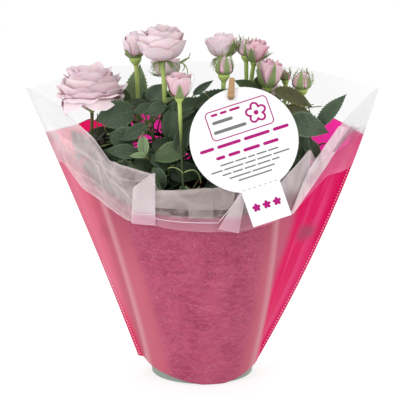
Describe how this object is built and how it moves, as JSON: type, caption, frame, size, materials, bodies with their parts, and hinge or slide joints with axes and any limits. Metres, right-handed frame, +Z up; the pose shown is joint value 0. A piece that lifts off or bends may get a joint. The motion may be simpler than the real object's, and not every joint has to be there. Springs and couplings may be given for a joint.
{
  "type": "potted miniature rose in a florist's sleeve",
  "caption": "Potted miniature rose bush with pale pink blooms, in a pink and clear film sleeve with a turned-down collar, a round card and a small wooden peg.",
  "frame": {"origin": "centre of the pot's flat underside", "axes": "+Z up; -Y towards the front of the sleeve, where its film is turned down and the card hangs; +X to the right of a person who looks at the front"},
  "size_m": [0.332, 0.1889, 0.3353],
  "materials": {
    "pot": "matt grey plastic",
    "soil": "moist peat, crumbly",
    "fibre_paper": "pink long-fibre paper",
    "film": "thin glossy film, clear above and pink below",
    "card": "smooth white coated card",
    "peg_wood": "plain pale wood",
    "peg_wire": "plain spring wire",
    "leaf": "dark green foliage",
    "cane": "green-brown bark",
    "green_stem": "smooth green stem",
    "petals": "soft pale pink petals"
  },
  "bodies": {
    "root": {"pot": "pot", "soil": "soil", "liner": "fibre_paper", "sleeve_front": "film", "sleeve_back": "film", "collar": "film", "tag": "card", "peg_front": "peg_wood", "peg_back": "peg_wood", "peg_coil": "peg_wire", "tag_shoot": "green_stem", "cane_front_left": "cane", "cane_front_right": "cane", "cane_back_left": "cane", "cane_back_right": "cane", "foliage_low_front_left": "leaf", "foliage_low_front_right": "leaf", "foliage_low_back_left": "leaf", "foliage_low_back_right": "leaf", "foliage_left": "leaf", "foliage_right": "leaf", "foliage_top_left": "leaf", "foliage_top_front": "leaf", "foliage_top_right": "leaf", "foliage_top_back_left": "leaf", "foliage_top_back_right": "leaf", "bloom_left_open": "petals", "bloom_tall_left": "petals", "bloom_large": "petals", "bloom_behind_large": "petals", "bloom_front_bud": "petals", "bloom_centre_tall": "petals", "bloom_centre_low": "petals", "bloom_right_tall": "petals", "bloom_right_pair": "petals", "bloom_right_green": "petals", "bloom_right_small": "petals", "bloom_back_right": "petals", "bloom_back_left": "petals", "stem_left_open": "green_stem", "stem_tall_left": "green_stem", "stem_large": "green_stem", "stem_behind_large": "green_stem", "stem_front_bud": "green_stem", "stem_centre_tall": "green_stem", "stem_centre_low": "green_stem", "stem_right_tall": "green_stem", "stem_right_pair": "green_stem", "stem_right_green": "green_stem", "stem_right_small": "green_stem", "stem_back_right": "green_stem", "stem_back_left": "green_stem"}
  },
  "joints": []
}
